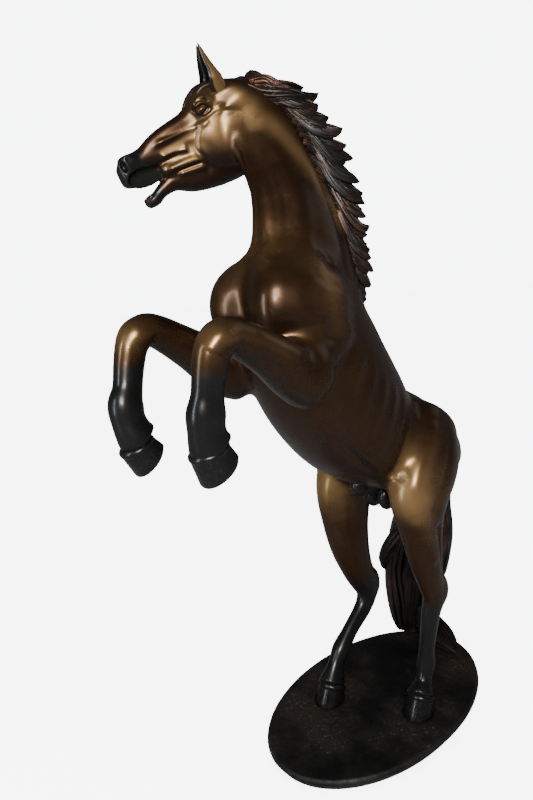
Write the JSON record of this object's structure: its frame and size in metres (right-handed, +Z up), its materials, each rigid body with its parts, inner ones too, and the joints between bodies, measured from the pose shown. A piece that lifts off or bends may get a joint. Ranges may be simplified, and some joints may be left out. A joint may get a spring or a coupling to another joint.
{
  "type": "bronze horse statue",
  "caption": "Free-standing bronze statue of a rearing horse on its hind legs, cast in hollow sections on a low oval base with a steel armature.",
  "frame": {"origin": "centre of the oval base's underside, on the surface the statue stands on", "axes": "+X toward the horse's head along the base's long axis, +Y to the horse's left, +Z up"},
  "size_m": [1.0996, 0.5351, 1.7639],
  "materials": {
    "bronze_body": "dark brown patina, waxed",
    "bronze_dark": "brown-black patina, waxed",
    "bronze_hair": "black patina, copper showing on worn ridges",
    "bronze_base": "black patina, satin, scuffed",
    "steel_armature": "mill finish"
  },
  "bodies": {
    "root": {"base_plate": "bronze_base", "base_frame": "steel_armature", "anchor_bosses": "steel_armature", "hindquarters": "bronze_body", "barrel": "bronze_body", "forequarters": "bronze_body", "neck": "bronze_body", "head": "bronze_body", "lower_jaw": "bronze_dark", "left_ear": "bronze_body", "right_ear": "bronze_body", "forelock": "bronze_hair", "mane_upper": "bronze_hair", "mane_middle": "bronze_hair", "mane_lower": "bronze_hair", "left_forearm": "bronze_body", "right_forearm": "bronze_body", "left_fore_cannon": "bronze_dark", "right_fore_cannon": "bronze_dark", "left_fore_hoof": "bronze_dark", "right_fore_hoof": "bronze_dark", "left_gaskin": "bronze_body", "right_gaskin": "bronze_body", "left_hind_cannon": "bronze_dark", "right_hind_cannon": "bronze_dark", "left_hind_hoof": "bronze_dark", "right_hind_hoof": "bronze_dark", "tail_dock": "bronze_hair", "tail_switch": "bronze_hair", "sheath": "bronze_dark", "left_leg_post": "steel_armature", "right_leg_post": "steel_armature", "spine_bar": "steel_armature", "post_nuts": "steel_armature", "post_washers": "steel_armature"}
  },
  "joints": []
}
